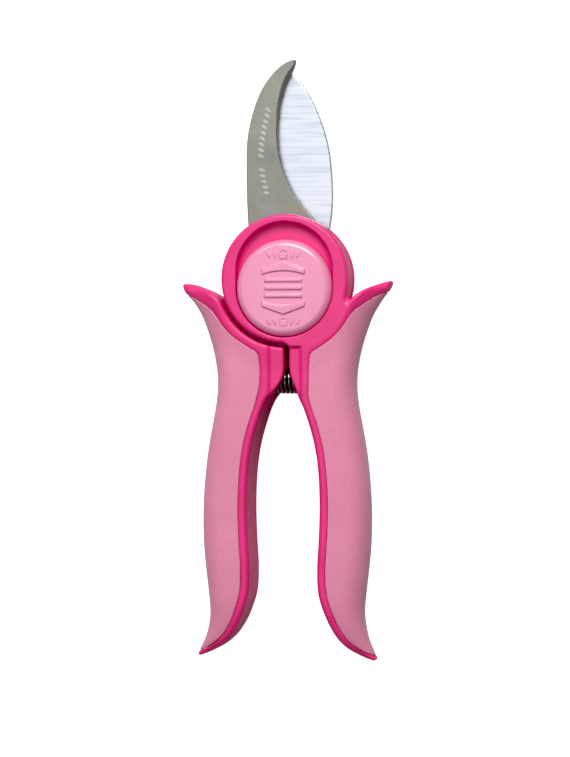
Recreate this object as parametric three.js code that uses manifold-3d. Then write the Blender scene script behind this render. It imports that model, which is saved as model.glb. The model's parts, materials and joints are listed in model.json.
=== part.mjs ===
// Floral snips: small bypass pruners with a round sliding lock button, closed and locked.
// The tool lies on its back. +Z is towards the button, +Y towards the blade tips, and the origin is
// on the pivot axis in the plane of the back. Lengths are millimetres.
// The right half is the right handle with the front head and the hook blade. The left half is the
// left handle with the rear head and the cutting blade, and it turns about the pivot.
import * as THREE from "three";
import { LoftGeometry } from "three/addons/geometries/LoftGeometry.js";
import { mergeVertices } from "three/addons/utils/BufferGeometryUtils.js";
import Module from "manifold-3d";

const wasm = await Module();
wasm.setup();

// Fits
const GAP = 0.3; // between moulded pieces that touch
const FIT = 0.15; // around a tang in its slot
const RUN = 0.1; // around the pivot bolt

// Handles, as distances from the line that they are mirrored about
const AXIS_X = -0.5;
const MID_Z = 8;
const OUTER_ROUND = 5.5;
const INNER_ROUND = 1.5;
const ROUND_STEPS = 3;
const TRIM_WIDTH = 2.5;
const GRIP_WALL = 2.5;
// The faces of the two bosses beside the spring lean this far to the right, and no more below them
const LEAN = { most: 0.95, fullY: -28, noneY: -34 };
// The line between grip and core leans less, and only between these heights under the head
const GRIP_LEAN = { most: 0.45, fromY: -12, fullY: -20 };

// Each row is [y, inner edge, outer edge, half thickness], from the wing tip to the tail tip.
const HANDLE_STATIONS = [
  [-0.7, 27.2, 29.6, 2.4],
  [-1.9, 24.4, 29.5, 3.3],
  [-3.4, 21.6, 28.8, 4.2],
  [-5.0, 19.2, 27.3, 5.1],
  [-6.8, 17.1, 25.9, 5.8],
  [-7.4, 0.8, 25.5, 6.0],
  [-10.0, 0.8, 23.9, 6.5],
  [-14.0, 0.8, 22.3, 7.2],
  [-19.0, 0.8, 20.7, 7.8],
  [-25.3, 0.8, 19.5, 8.0],
  [-28.2, 1.6, 19.3, 8.0],
  [-31.0, 3.2, 19.4, 8.0],
  [-35.0, 5.4, 19.8, 8.0],
  [-40.0, 7.2, 20.7, 8.0],
  [-46.0, 8.8, 21.8, 8.0],
  [-53.0, 9.8, 22.7, 8.0],
  [-63.0, 10.2, 23.4, 8.0],
  [-73.0, 9.9, 23.3, 8.0],
  [-80.0, 9.5, 22.7, 8.0],
  [-87.0, 9.8, 21.9, 7.8],
  [-92.0, 11.3, 21.5, 7.4],
  [-96.0, 12.9, 21.9, 6.7],
  [-99.5, 15.1, 22.8, 5.6],
  [-102.0, 17.7, 23.9, 4.5],
  [-103.6, 20.6, 24.7, 3.6],
  [-104.7, 23.2, 25.0, 3.0],
];
const TONGUE_TOP_Y = -6.8;
const TONGUE_END_Y = -99.5;
// Where the grip meets the core, from beyond the wing tip down to the spring, as [distance, y]
const GRIP_EDGE = [
  [33.0, -3.0],
  [27.3, -4.2],
  [22.3, -7.0],
  [19.2, -9.6],
  [17.1, -12.7],
  [14.0, -16.1],
  [9.5, -19.2],
  [7.9, -20.1],
  [7.0, -21.9],
  [7.0, -31.3],
];
const PANEL = { near: -2, far: 4.1, lean: 0.6, rightTop: -19.2, leftTop: -16, end: -33, depth: 0.8 };

// Heads, from the back to the front
const REAR_HEAD = { r: 17.7, top: 5.0, edgeRound: 4.0 };
const FRONT_HEAD = { r: 17.8, low: 10.4, top: 16.5, edgeRound: 1.0 };
// The front head's side wall goes on down beside the hook blade's root between these angles
const SKIRT = { inner: 14.0, low: 7.6, fromDeg: -46, toDeg: 40 };
const HEAD_CLEARANCE_R = 19.0;
const ROOT_CLEARANCE = { r: 16.0, top: 10.1 };
const RECESS = { r: 13.65, floor: 13.9 };
const UNDER_POCKET = { r: 13.2, top: 12.6 };
const CUTTING = { low: 5.3, top: 7.3 };
const HOOK = { low: 7.6, top: 10.1 };
const BLADE_DISC_R = 13.5;

// Lock: its travel is from the locked place to the open one along Y
const LOCKED_Y = -2.65;
const OPEN_Y = 2.25;
const LOCK_TRAVEL = OPEN_Y - LOCKED_Y;
const BUTTON = { r: 13.4, low: 14.1, edge: 16.3, shoulder: 17.2, top: 17.6, shoulderR: 12.3 };
const POST = { x: 7.2, r: 1.5, low: 12.4 };
const SLIDER = { r: 10.0, low: 11.1, top: 12.3, slotR: 4.6 };
const PIN = { fromCentre: -8.6, r: 1.5, low: 5.6 };
const PIN_WINDOW = { inner: 4.4, room: 0.35, fromDeg: 255, toDeg: 316 };
const SCREW = { r: 0.8, headR: 1.6, low: 10.45, headTop: 11.0, top: 13.5 };
const DETENT = { x: 10.5, bow: 0.8, halfLength: 5.5, thickness: 0.4, low: 11.2, top: 12.2, notchR: 0.8 };
// Raised signs on the button, in plan about its centre
const EMBLEM = { root: 0.4, rise: 0.1, barHalf: 5.1, barHeight: 0.9, barPitch: 2.15 };
const ARROW_HEAD = [
  [-5.9, 5.2],
  [0, 7.3],
  [5.9, 5.2],
  [5.9, 3.7],
  [0, 4.7],
  [-5.9, 3.7],
];

// Pivot
const BOLT = { r: 2.95, headR: 4.2, low: 1.9, headLow: 10.75, headTop: 12.2, slotWidth: 1.0, slotDepth: 0.7 };
const NUT = { r: 4.4, low: 1.7, top: 4.1 };
const WASHER = { r: 4.6, low: 10.2, top: 10.6 };
const CAP = { r: 9.0, top: 1.3, seatR: 9.3, seatTop: 1.6 };

// Tangs and their pins
const TANG_WIDTH = 7;
const TANG_LINE = [
  [3.0, -6.0],
  [9.0, -19.0],
  [12.8, -31.0],
  [15.0, -44.0],
  [16.0, -54.0],
];
const TANG_PINS = { upper: [12.0, -28.5], lower: [15.6, -50.0], r: 1.5, low: 4.2, top: 12.2 };

// Spring
const SPRING = { y: -28.2, z: 8, coilR: 3.1, wireR: 0.55, turns: 9, half: 6.0 };
const SPRING_POCKET = { r: 4.0, half: 6.4, mouth: 1.5 };
const SPRING_STUB = { r: 1.8, length: 2.6 };

// Cuts that run out through the back or the front end here
const BELOW = -1;
const ABOVE = 20;

const ROUND = 56;
const SMALL_ROUND = 20;

// A closed geometry as a solid, with its shared vertices merged and its faces turned outwards.
function solid(geometry) {
  const bare = new THREE.BufferGeometry();
  bare.setAttribute("position", geometry.getAttribute("position"));
  bare.setIndex(geometry.getIndex());
  const merged = mergeVertices(bare, 1e-4);
  const corners = merged.getIndex().array;
  const kept = [];
  for (let i = 0; i < corners.length; i += 3) {
    const [a, b, c] = [corners[i], corners[i + 1], corners[i + 2]];
    if (a !== b && b !== c && c !== a) kept.push(a, b, c);
  }
  const vertProperties = merged.getAttribute("position").array;
  const made = new wasm.Manifold(
    new wasm.Mesh({ numProp: 3, vertProperties, triVerts: new Uint32Array(kept) }),
  );
  if (made.volume() > 0) return made;
  kept.reverse();
  return new wasm.Manifold(
    new wasm.Mesh({ numProp: 3, vertProperties, triVerts: new Uint32Array(kept) }),
  );
}

// A solid's surface as a three.js geometry.
function surface(made) {
  const mesh = made.getMesh();
  const geometry = new THREE.BufferGeometry();
  geometry.setAttribute("position", new THREE.BufferAttribute(mesh.vertProperties, 3));
  geometry.setIndex(new THREE.BufferAttribute(mesh.triVerts, 1));
  geometry.computeVertexNormals();
  return geometry;
}

function prism(shape, low, top, curveSegments = 4) {
  const geometry = new THREE.ExtrudeGeometry(shape, {
    depth: top - low,
    bevelEnabled: false,
    curveSegments,
  });
  return solid(geometry.translate(0, 0, low));
}

function polygon(points) {
  return new THREE.Shape(points.map(([x, y]) => new THREE.Vector2(x, y)));
}

function cylinder(r, low, top, x = 0, y = 0, sides = SMALL_ROUND) {
  const geometry = new THREE.CylinderGeometry(r, r, top - low, sides);
  return solid(geometry.rotateX(Math.PI / 2).translate(x, y, (low + top) / 2));
}

function crossCylinder(r, fromX, toX, y, z) {
  const geometry = new THREE.CylinderGeometry(r, r, Math.abs(toX - fromX), SMALL_ROUND);
  return solid(geometry.rotateZ(Math.PI / 2).translate((fromX + toX) / 2, y, z));
}

function box(x0, x1, y0, y1, z0, z1) {
  const geometry = new THREE.BoxGeometry(Math.abs(x1 - x0), Math.abs(y1 - y0), z1 - z0);
  return solid(geometry.translate((x0 + x1) / 2, (y0 + y1) / 2, (z0 + z1) / 2));
}

// A turned piece about the Z axis from [radius, z] points that start and end on the axis.
function turned(profile, sides = ROUND) {
  const points = profile.map(([r, z]) => new THREE.Vector2(r, z));
  return solid(new THREE.LatheGeometry(points, sides).rotateX(Math.PI / 2));
}

// Points on an arc of a turned profile, from one angle to another in degrees.
function arc(centreR, centreZ, r, fromDeg, toDeg, steps = 3) {
  const points = [];
  for (let i = 0; i <= steps; i++) {
    const angle = THREE.MathUtils.degToRad(fromDeg + ((toDeg - fromDeg) * i) / steps);
    points.push([centreR + r * Math.cos(angle), centreZ + r * Math.sin(angle)]);
  }
  return points;
}

// A slot along Y with round ends: half width r, from one end's centre to the other's.
function slot(r, x, fromY, toY, low, top) {
  const shape = new THREE.Shape();
  shape.moveTo(x + r, fromY);
  shape.absarc(x, toY, r, 0, Math.PI, false);
  shape.absarc(x, fromY, r, Math.PI, 2 * Math.PI, false);
  return prism(shape, low, top, r > 5 ? 14 : 5);
}

// The part of a ring about the origin between two angles in degrees.
function ringSector(innerR, outerR, fromDeg, toDeg) {
  const from = THREE.MathUtils.degToRad(fromDeg);
  const to = THREE.MathUtils.degToRad(toDeg);
  const shape = new THREE.Shape();
  shape.absarc(0, 0, outerR, from, to, false);
  shape.absarc(0, 0, innerR, to, from, true);
  return shape;
}

// ---- Handles ----

function lean(y) {
  return LEAN.most * THREE.MathUtils.smoothstep(y, LEAN.noneY, LEAN.fullY);
}

function gripLean(y) {
  const fromBelow = THREE.MathUtils.smoothstep(y, LEAN.noneY, LEAN.fullY);
  const fromAbove = THREE.MathUtils.smoothstep(-y, -GRIP_LEAN.fromY, -GRIP_LEAN.fullY);
  return GRIP_LEAN.most * fromBelow * fromAbove;
}

// One closed section of a handle: a rectangle with round corners in the X-Z plane at height y.
function handleSection(side, [y, inner, outer, half], inset) {
  const near = inner + side * lean(y) + inset;
  const far = outer - inset;
  const tall = half - inset;
  const width = far - near;
  const farRound = Math.min(OUTER_ROUND - inset, width * 0.45, tall * 0.9);
  const nearRound = Math.min(INNER_ROUND, width * 0.2, tall * 0.5);
  const corners = [
    [far - farRound, farRound - tall, farRound, -90],
    [far - farRound, tall - farRound, farRound, 0],
    [near + nearRound, tall - nearRound, nearRound, 90],
    [near + nearRound, nearRound - tall, nearRound, 180],
  ];
  const ring = [];
  for (const [centre, z, r, startDeg] of corners) {
    for (const [distance, dz] of arc(centre, z, r, startDeg, startDeg + 90, ROUND_STEPS)) {
      ring.push(new THREE.Vector3(AXIS_X + side * distance, y, MID_Z + dz));
    }
  }
  return side > 0 ? ring : ring.reverse();
}

function handleLoft(side, stations, inset) {
  const sections = stations.map((station) => handleSection(side, station, inset));
  return solid(new LoftGeometry(sections, { capStart: true, capEnd: true }));
}

// The core's tongue inside the grip; grow makes room for it.
function tongue(side, grow) {
  const stations = HANDLE_STATIONS.filter(([y]) => y <= TONGUE_TOP_Y && y >= TONGUE_END_Y);
  const stretched = stations.map((station) => [...station]);
  stretched[0][0] += grow;
  stretched[stretched.length - 1][0] -= grow;
  return handleLoft(side, stretched, GRIP_WALL - grow);
}

// The line between grip and core, moved towards the grip by a distance.
function gripLine(side, shift) {
  const below = HANDLE_STATIONS.filter(([y]) => y < GRIP_EDGE.at(-1)[1]);
  const level = GRIP_EDGE.concat(below.map(([y, inner]) => [inner + TRIM_WIDTH, y]));
  const line = level.map(([distance, y]) => [distance + side * gripLean(y), y]);
  line.push([29, -109]);
  return line.map(([distance, y], i) => {
    const before = line[Math.max(i - 1, 0)];
    const after = line[Math.min(i + 1, line.length - 1)];
    const along = new THREE.Vector2(after[0] - before[0], after[1] - before[1]).normalize();
    return [distance - along.y * shift, y + along.x * shift];
  });
}

// Everything on the core's side of that line, through the whole thickness.
function coreSide(side, shift) {
  const line = gripLine(side, shift);
  const outline = line.concat([
    [-2, -109],
    [-2, 6],
    [33, 6],
  ]);
  const plan = polygon(outline.map(([distance, y]) => [AXIS_X + side * distance, y]));
  return prism(plan, BELOW, ABOVE);
}

function springPocket(side) {
  const mouth = AXIS_X - side * SPRING_POCKET.mouth;
  return crossCylinder(SPRING_POCKET.r, mouth, AXIS_X + side * SPRING_POCKET.half, SPRING.y, SPRING.z);
}

function springStub(side) {
  const foot = AXIS_X + side * (SPRING_POCKET.half + 1);
  const end = AXIS_X + side * (SPRING_POCKET.half - SPRING_STUB.length);
  return crossCylinder(SPRING_STUB.r, foot, end, SPRING.y, SPRING.z);
}

function panelRecess(side) {
  const floor = MID_Z + 8 - PANEL.depth;
  const middle = AXIS_X + PANEL.lean;
  const top = side > 0 ? PANEL.rightTop : PANEL.leftTop;
  return box(middle + side * PANEL.near, middle + side * PANEL.far, PANEL.end, top, floor, ABOVE);
}

function tangOutline(side, grow) {
  const half = TANG_WIDTH / 2 + grow;
  const last = TANG_LINE.length - 1;
  const edge = (i, sign) => {
    const before = TANG_LINE[Math.max(i - 1, 0)];
    const after = TANG_LINE[Math.min(i + 1, last)];
    const along = new THREE.Vector2(after[0] - before[0], after[1] - before[1]).normalize();
    const stretch = i === last ? grow : 0;
    const [x, y] = TANG_LINE[i];
    return [
      side * (x - sign * along.y * half + along.x * stretch),
      y + sign * along.x * half + along.y * stretch,
    ];
  };
  const there = TANG_LINE.map((_, i) => edge(i, 1));
  const back = TANG_LINE.map((_, i) => edge(i, -1)).reverse();
  return polygon(there.concat(back));
}

function tangPinHole(side, [x, y], low) {
  return cylinder(TANG_PINS.r + RUN, low, MID_Z + 8, side * x, y);
}

// What both cores share: the band along the inner edge, the tongue and everything cut from them.
function handleCore(side, blade) {
  const band = handleLoft(side, HANDLE_STATIONS, 0).intersect(coreSide(side, 0));
  const tangSlot = prism(tangOutline(side, FIT), blade.low - FIT, blade.top + FIT);
  return band
    .add(tongue(side, 0))
    .subtract(springPocket(side))
    .add(springStub(side))
    .subtract(panelRecess(side))
    .subtract(tangSlot);
}

function pinHoles(side) {
  const holeLow = TANG_PINS.low - RUN;
  const upper = tangPinHole(side, TANG_PINS.upper, holeLow);
  return upper.add(tangPinHole(side, TANG_PINS.lower, holeLow));
}

function grip(side) {
  return handleLoft(side, HANDLE_STATIONS, 0)
    .subtract(coreSide(side, GAP))
    .subtract(tongue(side, GAP));
}

function frontHead() {
  const { r, low, top, edgeRound } = FRONT_HEAD;
  return turned([[0, low], [r, low], ...arc(r - edgeRound, top - edgeRound, edgeRound, 0, 90), [0, top]]);
}

function headSkirt() {
  const shape = ringSector(SKIRT.inner, FRONT_HEAD.r, SKIRT.fromDeg, SKIRT.toDeg);
  return prism(shape, SKIRT.low, FRONT_HEAD.low + 0.5, 13);
}

function rearHead() {
  const { r, top, edgeRound } = REAR_HEAD;
  return turned([[0, 0], ...arc(r - edgeRound, edgeRound, edgeRound, -90, 0), [r, top], [0, top]]);
}

function boltHole() {
  return cylinder(BOLT.r + RUN, BELOW, ABOVE);
}

function hexPrism(r, low, top) {
  return cylinder(r, low, top, 0, 0, 6);
}

function rightCore() {
  const postSlots = [-1, 1].map((side) =>
    slot(POST.r + GAP, side * POST.x, LOCKED_Y, OPEN_Y, UNDER_POCKET.top - 1, RECESS.floor + 1),
  );
  return handleCore(1, HOOK)
    .subtract(cylinder(HEAD_CLEARANCE_R, BELOW, FRONT_HEAD.low, 0, 0, ROUND))
    .add(frontHead())
    .add(headSkirt())
    .subtract(slot(RECESS.r, 0, LOCKED_Y, OPEN_Y, RECESS.floor, ABOVE))
    .subtract(cylinder(UNDER_POCKET.r, HOOK.top, UNDER_POCKET.top, 0, 0, ROUND))
    .subtract(postSlots[0])
    .subtract(postSlots[1])
    .subtract(pinHoles(1));
}

function leftCore() {
  return handleCore(-1, CUTTING)
    .subtract(cylinder(HEAD_CLEARANCE_R, ROOT_CLEARANCE.top, ABOVE, 0, 0, ROUND))
    .subtract(cylinder(ROOT_CLEARANCE.r, REAR_HEAD.top, ABOVE, 0, 0, ROUND))
    .add(rearHead())
    .subtract(cylinder(CAP.seatR, BELOW, CAP.seatTop, 0, 0, ROUND))
    .subtract(hexPrism(NUT.r + GAP, 0, NUT.top + RUN))
    .subtract(boltHole())
    .subtract(pinHoles(-1));
}

// ---- Blades ----

function hookOutline() {
  const shape = new THREE.Shape();
  shape.moveTo(10.8, 11);
  shape.lineTo(9.6, 13.4);
  shape.lineTo(6.7, 17.2);
  shape.splineThru([
    new THREE.Vector2(1.1, 24.4),
    new THREE.Vector2(-2.7, 34.5),
    new THREE.Vector2(-2.9, 46.0),
    new THREE.Vector2(-1.0, 54.1),
    new THREE.Vector2(1.7, 59.4),
  ]);
  shape.lineTo(1.1, 60.9);
  shape.splineThru([
    new THREE.Vector2(-1.3, 59.9),
    new THREE.Vector2(-4.7, 56.9),
    new THREE.Vector2(-8.3, 51.2),
    new THREE.Vector2(-11.3, 41.0),
    new THREE.Vector2(-11.8, 31.0),
    new THREE.Vector2(-11.3, 15.0),
    new THREE.Vector2(-10.7, 11.0),
  ]);
  return shape;
}

function cuttingOutline() {
  const shape = new THREE.Shape();
  shape.moveTo(-5.7, 11);
  shape.lineTo(10.5, 11);
  shape.splineThru([
    new THREE.Vector2(11.8, 19.0),
    new THREE.Vector2(11.8, 28.5),
    new THREE.Vector2(10.4, 38.7),
    new THREE.Vector2(6.8, 48.6),
    new THREE.Vector2(2.8, 55.2),
    new THREE.Vector2(0.4, 57.4),
  ]);
  shape.splineThru([
    new THREE.Vector2(-3.7, 52.5),
    new THREE.Vector2(-7.3, 43.0),
    new THREE.Vector2(-8.2, 31.5),
    new THREE.Vector2(-7.3, 20.0),
    new THREE.Vector2(-5.7, 11.0),
  ]);
  return shape;
}

// A blade: its outline, the round root on the pivot and the tang in the handle.
function bladeBody(outline, side, { low, top }) {
  const holes = [TANG_PINS.upper, TANG_PINS.lower].map(([x, y]) =>
    cylinder(TANG_PINS.r + RUN, BELOW, ABOVE, side * x, y),
  );
  return prism(outline, low, top, 3)
    .add(cylinder(BLADE_DISC_R, low, top, 0, 0, ROUND))
    .add(prism(tangOutline(side, 0), low, top))
    .subtract(boltHole())
    .subtract(holes[0])
    .subtract(holes[1]);
}

function hookBlade() {
  const fromY = LOCKED_Y + PIN.fromCentre;
  const pinSlot = slot(PIN.r + GAP, 0, fromY, fromY + LOCK_TRAVEL, BELOW, ABOVE);
  return bladeBody(hookOutline(), 1, HOOK).subtract(pinSlot);
}

// The window that the lock pin stands in while the blade turns past it.
function pinWindow() {
  const { inner, room, fromDeg, toDeg } = PIN_WINDOW;
  const outer = -(LOCKED_Y + PIN.fromCentre) + PIN.r + room;
  return prism(ringSector(inner, outer, fromDeg, toDeg), BELOW, ABOVE, 6);
}

function cuttingBlade() {
  return bladeBody(cuttingOutline(), -1, CUTTING).subtract(pinWindow());
}

// ---- Pivot ----

function pivotBolt() {
  const { r, headR, low, headLow, headTop, slotWidth, slotDepth } = BOLT;
  const driverSlot = box(-headR, headR, -slotWidth / 2, slotWidth / 2, headTop - slotDepth, headTop + 1);
  return cylinder(r, low, headTop - slotDepth - 0.1)
    .add(cylinder(headR, headLow, headTop))
    .subtract(driverSlot);
}

function pivotNut() {
  return hexPrism(NUT.r, NUT.low, NUT.top).subtract(boltHole());
}

function pivotWasher() {
  return cylinder(WASHER.r, WASHER.low, WASHER.top).subtract(boltHole());
}

function rearCap() {
  return turned([
    [0, 0],
    [CAP.r - 0.4, 0],
    [CAP.r, 0.4],
    [CAP.r, CAP.top],
    [0, CAP.top],
  ]);
}

// ---- Lock ----

// A raised arrow head on the button, pointing up for +1 and down for -1.
function arrowHead(direction) {
  const shape = polygon(ARROW_HEAD.map(([x, y]) => [x, LOCKED_Y + direction * y]));
  return prism(shape, BUTTON.shoulder - EMBLEM.root, BUTTON.top + EMBLEM.rise);
}

function emblemBar(row) {
  const y = LOCKED_Y + row * EMBLEM.barPitch;
  const half = EMBLEM.barHeight / 2;
  const [low, top] = [BUTTON.shoulder - EMBLEM.root, BUTTON.top + EMBLEM.rise];
  return box(-EMBLEM.barHalf, EMBLEM.barHalf, y - half, y + half, low, top);
}

function lockButton() {
  const { r, low, edge, shoulder, top, shoulderR } = BUTTON;
  const body = turned([
    [0, low],
    [r, low],
    [r, edge],
    [(r + shoulderR) / 2 + 0.25, (edge + shoulder) / 2 + 0.2],
    [shoulderR, shoulder],
    [shoulderR / 2, top - 0.1],
    [0, top],
  ]).translate([0, LOCKED_Y, 0]);
  let button = body.add(arrowHead(1)).add(arrowHead(-1));
  for (const row of [-1, 0, 1]) button = button.add(emblemBar(row));
  for (const side of [-1, 1]) {
    button = button
      .add(cylinder(POST.r, POST.low, low + 0.5, side * POST.x, LOCKED_Y))
      .subtract(cylinder(SCREW.r + RUN, POST.low - 1, SCREW.top + RUN, side * POST.x, LOCKED_Y));
  }
  return button;
}

function lockSlider() {
  const { r, low, top, slotR } = SLIDER;
  let plate = cylinder(r, low, top, 0, LOCKED_Y, ROUND)
    .subtract(slot(slotR, 0, -LOCK_TRAVEL - 0.2, 0.2, BELOW, ABOVE))
    .subtract(cylinder(PIN.r + RUN, BELOW, ABOVE, 0, LOCKED_Y + PIN.fromCentre));
  for (const side of [-1, 1]) {
    plate = plate.subtract(cylinder(SCREW.r + RUN, BELOW, ABOVE, side * POST.x, LOCKED_Y));
  }
  for (const notchY of [0, -LOCK_TRAVEL]) {
    plate = plate.subtract(cylinder(DETENT.notchR, BELOW, ABOVE, r, notchY));
  }
  return plate;
}

function lockPin() {
  return cylinder(PIN.r, PIN.low, SLIDER.top, 0, LOCKED_Y + PIN.fromCentre);
}

function lockScrew(side) {
  const { r, headR, low, headTop, top } = SCREW;
  const [x, y] = [side * POST.x, LOCKED_Y];
  return cylinder(r, headTop - 0.2, top, x, y).add(cylinder(headR, low, headTop, x, y));
}

function detentSpring() {
  const { x, bow, halfLength, thickness, low, top } = DETENT;
  const inside = [
    [x + bow, -halfLength],
    [x + bow / 2, -2],
    [x, 0],
    [x + bow / 2, 2],
    [x + bow, halfLength],
  ];
  const outside = inside.map(([px, py]) => [px + thickness, py]).reverse();
  return prism(polygon(inside.concat(outside)), low, top);
}

// ---- Spring ----

class Coil extends THREE.Curve {
  getPoint(t, target = new THREE.Vector3()) {
    const angle = t * SPRING.turns * 2 * Math.PI;
    return target.set(
      AXIS_X + SPRING.half * (2 * t - 1) * (1 - SPRING.wireR / SPRING.half),
      SPRING.y + SPRING.coilR * Math.cos(angle),
      SPRING.z + SPRING.coilR * Math.sin(angle),
    );
  }
}

function mainSpring() {
  const wire = new THREE.Shape().absarc(0, 0, SPRING.wireR, 0, 2 * Math.PI, false);
  const geometry = new THREE.ExtrudeGeometry(wire, {
    steps: SPRING.turns * 10,
    curveSegments: 3,
    bevelEnabled: false,
    extrudePath: new Coil(),
  });
  return solid(geometry);
}

function tangPin(side, [x, y]) {
  return cylinder(TANG_PINS.r, TANG_PINS.low, TANG_PINS.top, side * x, y);
}

// ---- Assembly ----

const MAGENTA = { color: 0xe8437f, roughness: 0.38, metalness: 0 };
const PINK = { color: 0xe592ae, roughness: 0.6, metalness: 0 };
const BUTTON_PINK = { color: 0xef9abb, roughness: 0.32, metalness: 0 };
const BLASTED_STEEL = { color: 0x9d9f9a, roughness: 0.5, metalness: 1 };
const BRUSHED_STEEL = { color: 0xdfe3e6, roughness: 0.3, metalness: 1 };
const PLAIN_STEEL = { color: 0xb8bcc0, roughness: 0.35, metalness: 1 };

function piece(name, made, finish) {
  const mesh = new THREE.Mesh(surface(made), new THREE.MeshStandardMaterial(finish));
  mesh.name = name;
  return mesh;
}

const rightHalf = new THREE.Group();
rightHalf.add(
  piece("right_handle_core", rightCore(), MAGENTA),
  piece("right_grip", grip(1), PINK),
  piece("hook_blade", hookBlade(), BLASTED_STEEL),
  piece("hook_tang_pin_upper", tangPin(1, TANG_PINS.upper), PLAIN_STEEL),
  piece("hook_tang_pin_lower", tangPin(1, TANG_PINS.lower), PLAIN_STEEL),
  piece("detent_spring", detentSpring(), PLAIN_STEEL),
  piece("main_spring", mainSpring(), PLAIN_STEEL),
);

const leftHalf = new THREE.Group();
leftHalf.add(
  piece("left_handle_core", leftCore(), MAGENTA),
  piece("left_grip", grip(-1), PINK),
  piece("cutting_blade", cuttingBlade(), BRUSHED_STEEL),
  piece("cutting_tang_pin_upper", tangPin(-1, TANG_PINS.upper), PLAIN_STEEL),
  piece("cutting_tang_pin_lower", tangPin(-1, TANG_PINS.lower), PLAIN_STEEL),
  piece("pivot_bolt", pivotBolt(), PLAIN_STEEL),
  piece("pivot_washer", pivotWasher(), PLAIN_STEEL),
  piece("pivot_nut", pivotNut(), PLAIN_STEEL),
  piece("rear_cap", rearCap(), BUTTON_PINK),
);

const lock = new THREE.Group();
lock.add(
  piece("lock_button", lockButton(), BUTTON_PINK),
  piece("lock_slider", lockSlider(), PLAIN_STEEL),
  piece("lock_pin", lockPin(), PLAIN_STEEL),
  piece("lock_screw_left", lockScrew(-1), PLAIN_STEEL),
  piece("lock_screw_right", lockScrew(1), PLAIN_STEEL),
);

const snips = new THREE.Group();
snips.add(rightHalf, leftHalf, lock);

export default snips;
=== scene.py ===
"""The looks of a pair of floral snips, lying on their back: fine surfaces, finishes, light and camera.

The moulded pieces and the blades are written as distance fields in millimetres, negative inside,
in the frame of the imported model. Each field is meshed on a grid and its vertices are then moved
onto the exact surface. Handle outlines give the distance from the line that the two handles are
mirrored about, and the height along Y.
"""
import json
import math
from functools import partial

import bmesh
import bpy
import numpy as np
from mathutils import Matrix, Vector


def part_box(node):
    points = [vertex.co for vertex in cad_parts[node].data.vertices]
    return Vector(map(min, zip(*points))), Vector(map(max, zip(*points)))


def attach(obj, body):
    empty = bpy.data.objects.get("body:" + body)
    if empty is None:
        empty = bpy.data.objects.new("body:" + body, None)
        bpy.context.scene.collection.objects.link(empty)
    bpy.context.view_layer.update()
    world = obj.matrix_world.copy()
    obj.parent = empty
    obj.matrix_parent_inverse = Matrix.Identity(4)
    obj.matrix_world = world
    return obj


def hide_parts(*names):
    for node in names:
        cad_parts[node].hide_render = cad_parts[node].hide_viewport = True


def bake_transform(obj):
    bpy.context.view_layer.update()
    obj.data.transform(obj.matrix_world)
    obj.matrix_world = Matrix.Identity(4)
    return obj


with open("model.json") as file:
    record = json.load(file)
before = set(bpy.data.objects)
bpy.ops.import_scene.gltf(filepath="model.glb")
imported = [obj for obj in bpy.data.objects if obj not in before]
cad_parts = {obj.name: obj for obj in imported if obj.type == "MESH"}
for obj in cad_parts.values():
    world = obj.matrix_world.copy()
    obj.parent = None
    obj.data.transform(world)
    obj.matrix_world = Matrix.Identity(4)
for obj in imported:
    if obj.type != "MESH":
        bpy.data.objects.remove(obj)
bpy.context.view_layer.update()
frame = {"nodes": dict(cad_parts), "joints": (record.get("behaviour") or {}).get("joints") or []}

MM = 0.001


def corners(node):
    """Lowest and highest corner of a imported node, in millimetres."""
    low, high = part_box(node)
    return np.array(low) / MM, np.array(high) / MM


def middle(node):
    low, high = corners(node)
    return (low + high) / 2


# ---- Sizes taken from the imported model, in millimetres ----

HEAD_TOP = corners("right_handle_core")[1][2]
HOOK_Z = [corners("hook_blade")[i][2] for i in (0, 1)]
CUTTING_Z = [corners("cutting_blade")[i][2] for i in (0, 1)]
BUTTON_X, BUTTON_Y = middle("lock_button")[:2]
BUTTON_R = (corners("lock_button")[1][0] - corners("lock_button")[0][0]) / 2
POST_LOW = corners("lock_button")[0][2]
BUTTON_TOP = corners("lock_button")[1][2]
LOCK_TRAVEL = next(j for j in frame["joints"] if j["name"] == "lock_slide")["range_m"][1] / MM
POST_X = middle("lock_screw_right")[0]
SCREW_TOP = corners("lock_screw_right")[1][2]
LOCK_PIN_Y = middle("lock_pin")[1]
CAP_R = corners("rear_cap")[1][0]
CAP_TOP = corners("rear_cap")[1][2]
NUT_R = corners("pivot_nut")[1][0]
NUT_TOP = corners("pivot_nut")[1][2]
PIN_HOLES = {side: [middle(f"{blade}_tang_pin_{place}") for place in ("upper", "lower")]
             for side, blade in ((1, "hook"), (-1, "cutting"))}
SPRING_LOW, SPRING_HIGH = corners("main_spring")

# ---- Driving sizes of the fine shapes, in millimetres and degrees ----

BOLT_R = 2.95
PIN_R = 1.5
AXIS_X = -0.5  # the line that the handles are mirrored about
MID_Z = 8.0
FIT = 0.15  # room around a tang in its slot
GAP = 0.3  # room between other separate pieces
RUN = 0.1  # room around a turning or sliding pin
GRIP_WALL = 2.5
GRIP_SPAN = (5.0, 30.5)  # a grip's reach from the mirror line
GRIP_SEAM = 0.05  # between a grip and its core
ROOT = 0.5  # how far a raised shape or a post reaches into what carries it
MOULD_EDGE = 0.3  # rounding of the small edges of moulded pieces
STEEL_EDGE = 0.1  # and of the blades
PIN_HOLE_LOW = 4.1  # where the tang pins' holes end inside the handles
TIP_ROUND = {"wing": 0.8, "tail": 1.3}
WAIST_Y = -50  # between the wing's part of a handle and the tail's
INNER_ROUND = 1.3
OUTER_SHARE = 0.75  # outer rounding as a share of the half thickness
CROWN = {"wide": 1.3, "r": 4.0}  # the core's border falls away towards the grip
LEAN = {"inner": 0.95, "grip": 0.45, "full_y": -28, "none_y": -34}  # to the right, beside the spring
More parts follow.
